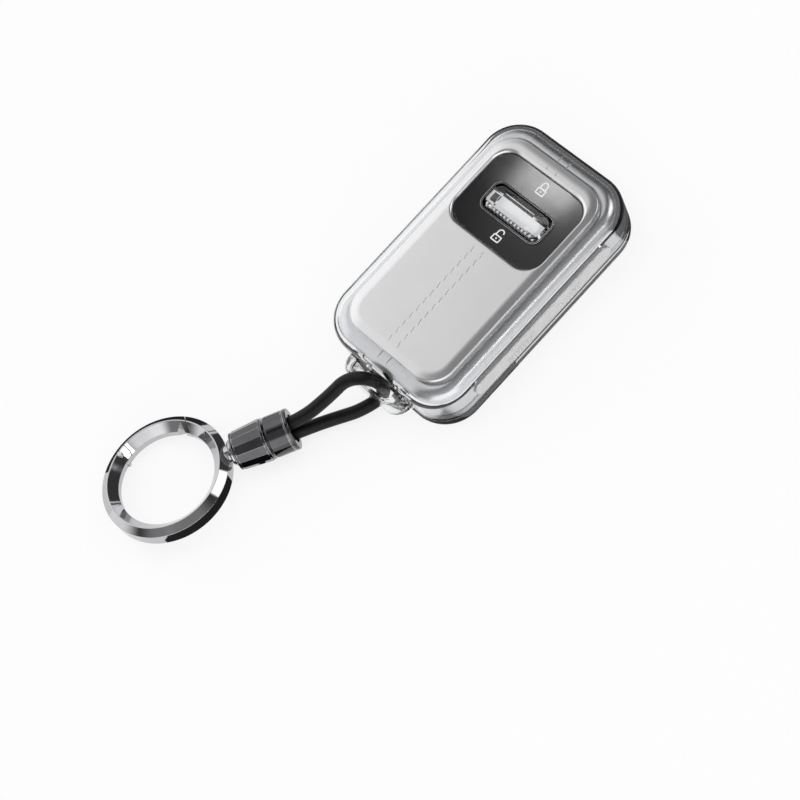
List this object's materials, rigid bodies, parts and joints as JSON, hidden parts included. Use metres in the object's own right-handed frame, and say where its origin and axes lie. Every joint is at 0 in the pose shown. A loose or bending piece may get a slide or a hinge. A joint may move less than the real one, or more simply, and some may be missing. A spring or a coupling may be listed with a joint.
{
  "type": "key fob cover",
  "caption": "Clear snap-together key fob cover with a silver face plate, a crystal rocker in a dark dished panel, and a doubled cord with a ferrule and a swivelling gated ring.",
  "frame": {"origin": "middle of the back face that the cover lies on", "axes": "+X along the cover towards the button end, +Y towards its left side, +Z out of the face"},
  "size_m": [0.1572, 0.0721, 0.0202],
  "materials": {
    "clear": "clear, glossy",
    "silver": "satin",
    "panel": "glossy",
    "trim": "satin",
    "crystal": "faceted, polished",
    "steel": "bright",
    "silicone": "matt",
    "black_plastic": "matt",
    "cord": "smooth, waxed",
    "dark_chrome": "polished",
    "chrome": "polished",
    "brass": "turned"
  },
  "bodies": {
    "back_half": {"back_shell": "clear", "back_plate": "silver"},
    "front_half": {"front_shell": "clear", "face_plate": "silver", "side_grip_right": "clear", "side_grip_left": "clear", "button_bezel": "panel", "rocker_trim": "trim", "mat_retainer": "black_plastic", "keypad_mat": "silicone", "retainer_screws": "steel", "rocker_pin": "steel"},
    "rocker": {"rocker_crystal": "crystal", "rocker_frame": "silver"},
    "lanyard": {"cord_loop": "cord", "ferrule_body": "dark_chrome", "ferrule_collar": "dark_chrome", "cord_plug": "brass", "swivel_washer": "chrome"},
    "ring": {"ring_body": "chrome", "swivel_stud": "steel", "gate_pin": "steel", "gate_spring": "steel"},
    "gate": {"ring_gate": "chrome"}
  },
  "joints": [
    {"name": "front_lift", "type": "slide", "parent": "back_half", "child": "front_half", "axis": [0, 0, 1], "range_m": [0, 0.03]},
    {"name": "rocker_tilt", "type": "hinge", "parent": "front_half", "child": "rocker", "pos_m": [0.017, 0, 0.0149], "axis": [0, 1, 0], "range_deg": [-4, 4], "stiffness_Nm_per_rad": 0.12, "deforming": ["keypad_mat"]},
    {"name": "lanyard_swing", "type": "hinge", "parent": "front_half", "child": "lanyard", "pos_m": [-0.0445, 0, 0.00955], "axis": [0, 1, 0], "range_deg": [0, 75], "deforming": ["cord_loop"]},
    {"name": "ring_swivel", "type": "hinge", "parent": "lanyard", "child": "ring", "pos_m": [-0.0984, 0.0292, 0.0062], "axis": [0.8813, -0.4726, 0], "continuous": true},
    {"name": "gate_open", "type": "hinge", "parent": "ring", "child": "gate", "pos_m": [-0.10259, 0.04462, 0.00422], "axis": [-0.0796, -0.1485, -0.9857], "range_deg": [0, 28], "stiffness_Nm_per_rad": 0.04, "springref_deg": -20.05, "deforming": ["gate_spring"]}
  ]
}
